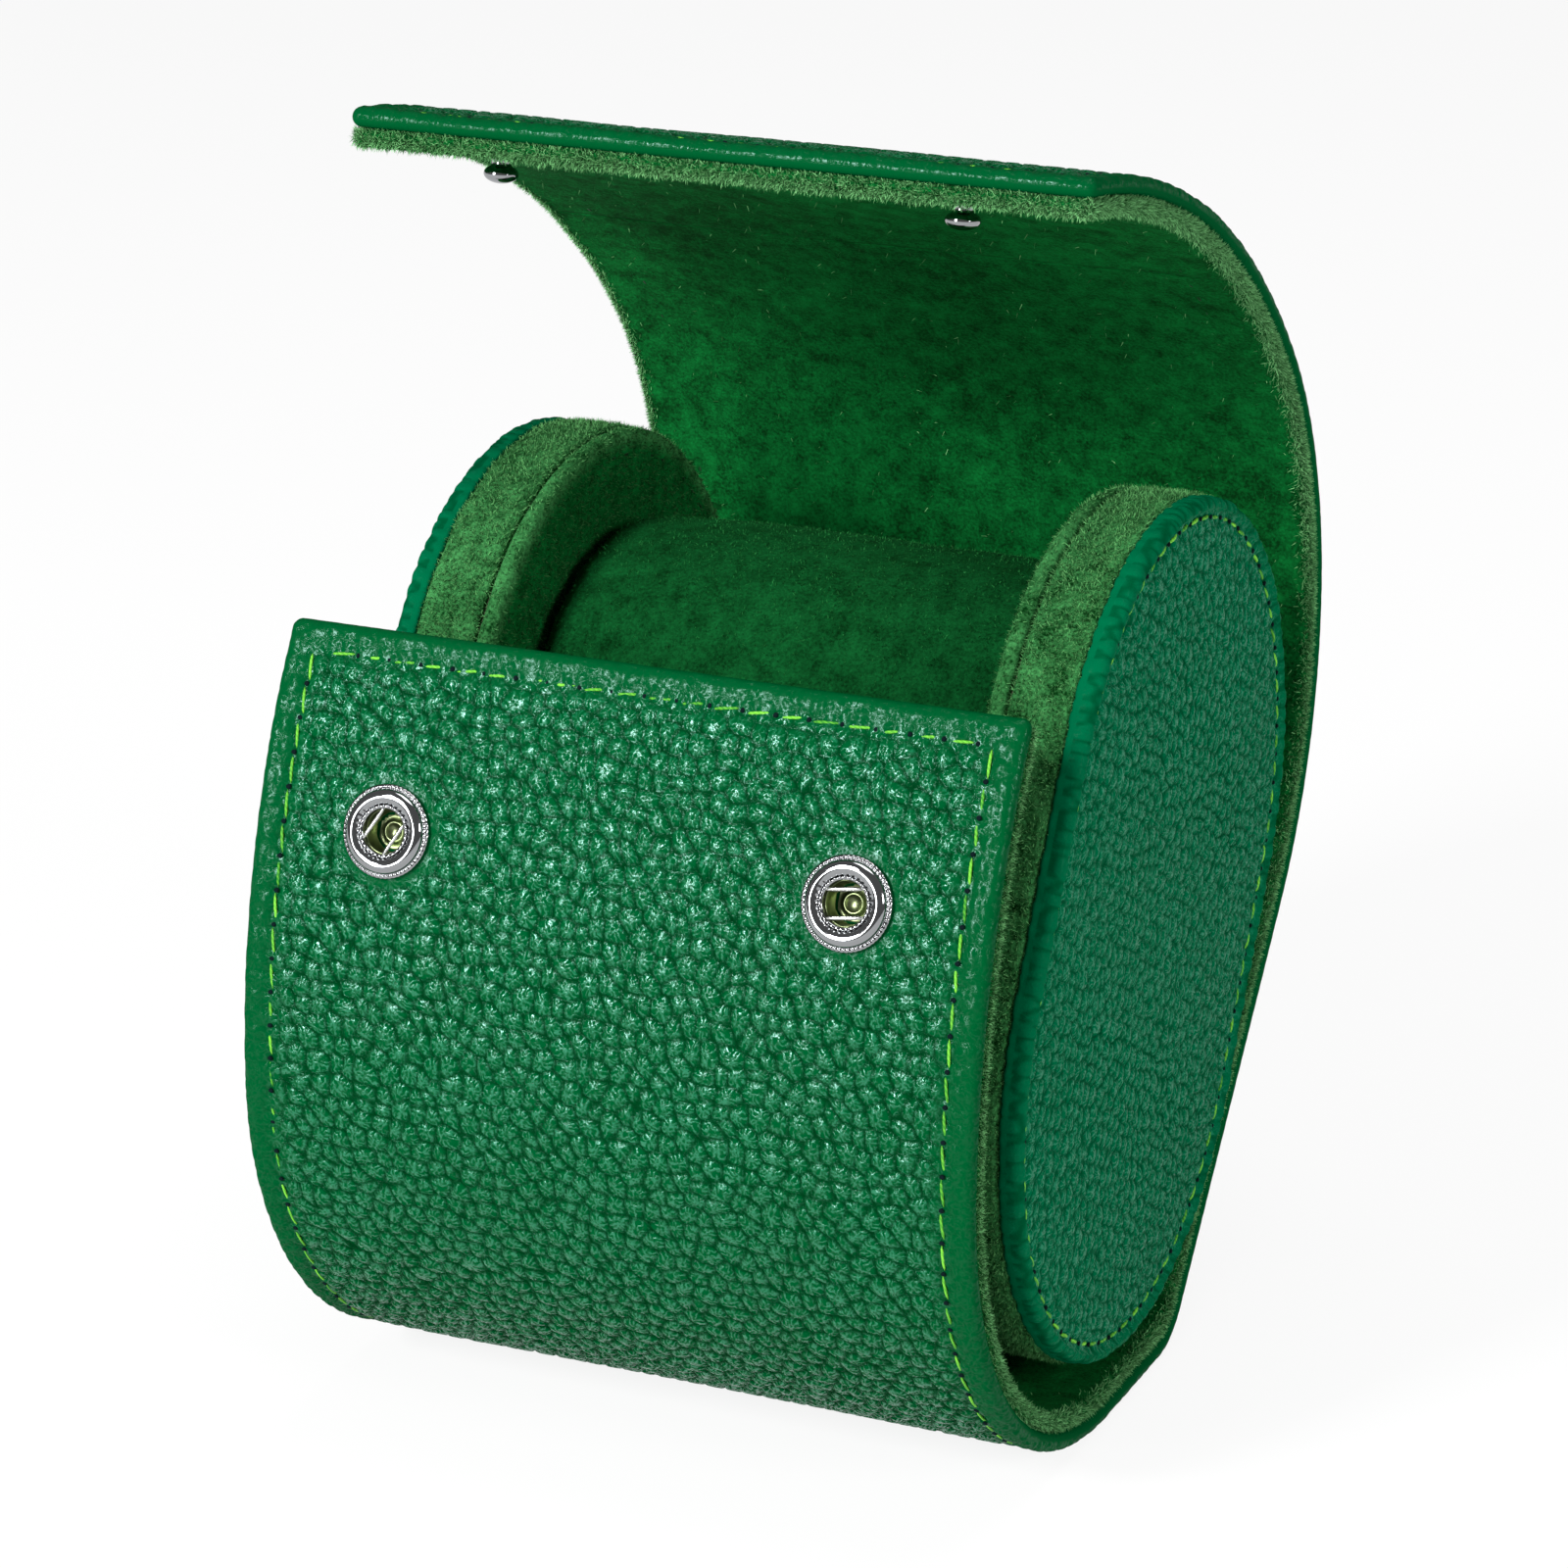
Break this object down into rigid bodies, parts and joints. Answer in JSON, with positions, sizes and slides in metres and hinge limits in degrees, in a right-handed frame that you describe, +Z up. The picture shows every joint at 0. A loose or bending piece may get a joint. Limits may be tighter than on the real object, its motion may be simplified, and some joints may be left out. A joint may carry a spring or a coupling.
{
  "type": "watch roll",
  "caption": "Leather watch roll: a curved strip whose flap snaps shut round a padded pillow between end discs, which pulls out sideways to take a watch.",
  "frame": {"origin": "middle of the strip's flat resting length, on the surface that the roll stands on", "axes": "+X along the roll, the way the spool pulls out; +Y from the front panel to the back; +Z up"},
  "size_m": [0.085, 0.108, 0.1417],
  "materials": {
    "strip_leather": "pebbled litchi-grain leather, semi-gloss",
    "disc_leather": "fine-grained leather, semi-gloss",
    "suede_lining": "suede, short nap",
    "disc_suede": "suede, short nap",
    "pillow_suede": "suede, short nap",
    "pillow_foam": "soft foam",
    "panel_board": "dense grey board",
    "strip_board": "flexible card",
    "disc_core": "laminated card",
    "snap_chrome": "polished chrome plate",
    "spring_steel": "drawn spring wire",
    "snap_brass": "plain brass"
  },
  "bodies": {
    "roll_base": {"base_leather": "strip_leather", "base_board": "strip_board", "base_lining": "suede_lining", "left_disc_face_leather": "disc_leather", "left_disc_core_board": "disc_core", "left_disc_suede_band": "disc_suede", "left_disc_inner_suede": "disc_suede"},
    "front_panel": {"front_panel_leather": "strip_leather", "front_panel_board": "panel_board", "front_panel_lining": "suede_lining", "snap_sockets": "snap_chrome", "socket_springs": "spring_steel", "socket_eyelets": "snap_brass"},
    "flap_root": {"flap_root_leather": "strip_leather", "flap_root_board": "strip_board", "flap_root_lining": "suede_lining"},
    "flap_middle": {"flap_middle_leather": "strip_leather", "flap_middle_board": "strip_board", "flap_middle_lining": "suede_lining"},
    "flap_tip": {"flap_tip_leather": "strip_leather", "flap_tip_board": "strip_board", "flap_tip_lining": "suede_lining", "snap_studs": "snap_chrome", "stud_rivets": "snap_brass"},
    "spool": {"right_disc_face_leather": "disc_leather", "right_disc_core_board": "disc_core", "right_disc_suede_band": "disc_suede", "right_disc_inner_suede": "disc_suede", "pillow_cover": "pillow_suede", "pillow_foam": "pillow_foam"}
  },
  "joints": [
    {"name": "flap_fold", "type": "hinge", "parent": "roll_base", "child": "flap_root", "pos_m": [0, 0.04122, 0.04025], "axis": [1, 0, 0], "range_deg": [-8, 19]},
    {"name": "flap_middle_bend", "type": "hinge", "parent": "flap_root", "child": "flap_middle", "pos_m": [0, 0.04237, 0.1069], "axis": [1, 0, 0], "range_deg": [-11.21, 26.61]},
    {"name": "flap_tip_bend", "type": "hinge", "parent": "flap_middle", "child": "flap_tip", "pos_m": [0, 0.00592, 0.13202], "axis": [1, 0, 0], "range_deg": [-9.99, 23.72]},
    {"name": "front_panel_draw", "type": "hinge", "parent": "roll_base", "child": "front_panel", "pos_m": [0, -0.01174, 0.00338], "axis": [1, 0, 0], "range_deg": [-9.24, 3.9]},
    {"name": "spool_slide", "type": "slide", "parent": "roll_base", "child": "spool", "axis": [1, 0, 0], "range_m": [0, 0.07]}
  ],
  "couplings": [
    {"joint": "flap_middle_bend", "follows": "flap_fold", "ratio": 1.4},
    {"joint": "flap_tip_bend", "follows": "flap_fold", "ratio": 1.248},
    {"joint": "front_panel_draw", "follows": "flap_fold", "ratio": -0.486}
  ]
}
